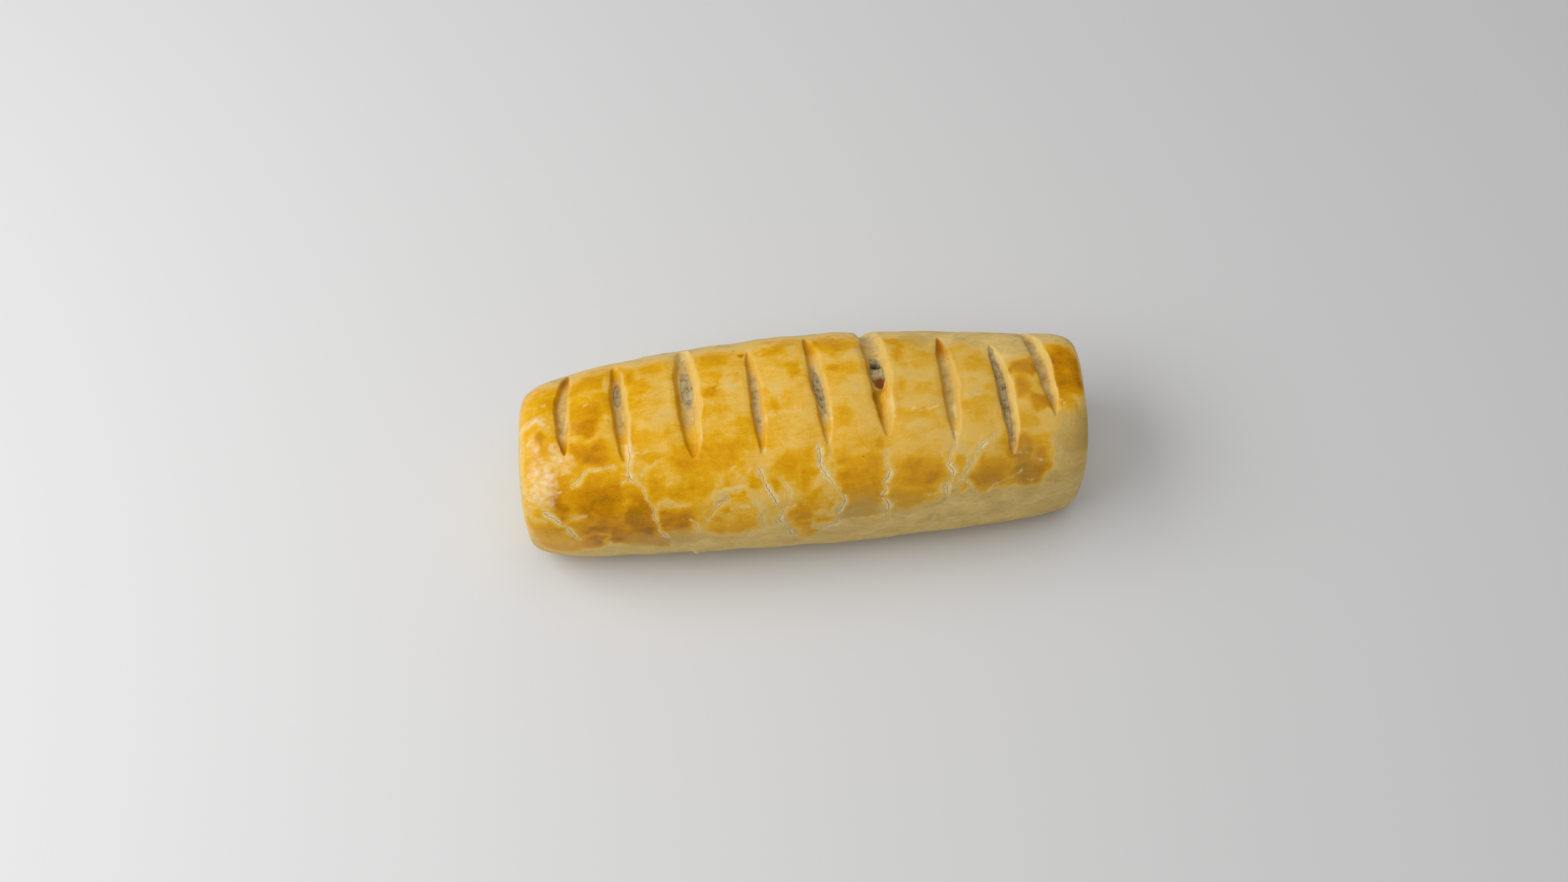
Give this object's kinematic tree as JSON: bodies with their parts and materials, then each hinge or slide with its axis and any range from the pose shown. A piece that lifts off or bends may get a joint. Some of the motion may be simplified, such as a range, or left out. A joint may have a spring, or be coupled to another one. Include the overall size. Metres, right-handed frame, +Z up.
{
  "type": "fish roll",
  "caption": "Baked pastry roll with blunt rounded ends, slashed across its golden top so that the fish filling shows, resting on a flat base.",
  "frame": {"origin": "middle of the box at the flat base the roll rests on", "axes": "+X along the roll towards the slanted, flared end, +Y across it away from the more cracked side, +Z up through the slashed top"},
  "size_m": [0.1512, 0.0568, 0.0412],
  "materials": {
    "pastry": "baked egg-washed pastry, golden and satin on top, pale and matt low down, browned in patches and cracked",
    "filling": "moist cooked fish filling, grey-brown and coarse"
  },
  "bodies": {
    "root": {"pastry": "pastry", "filling": "filling"}
  },
  "joints": []
}
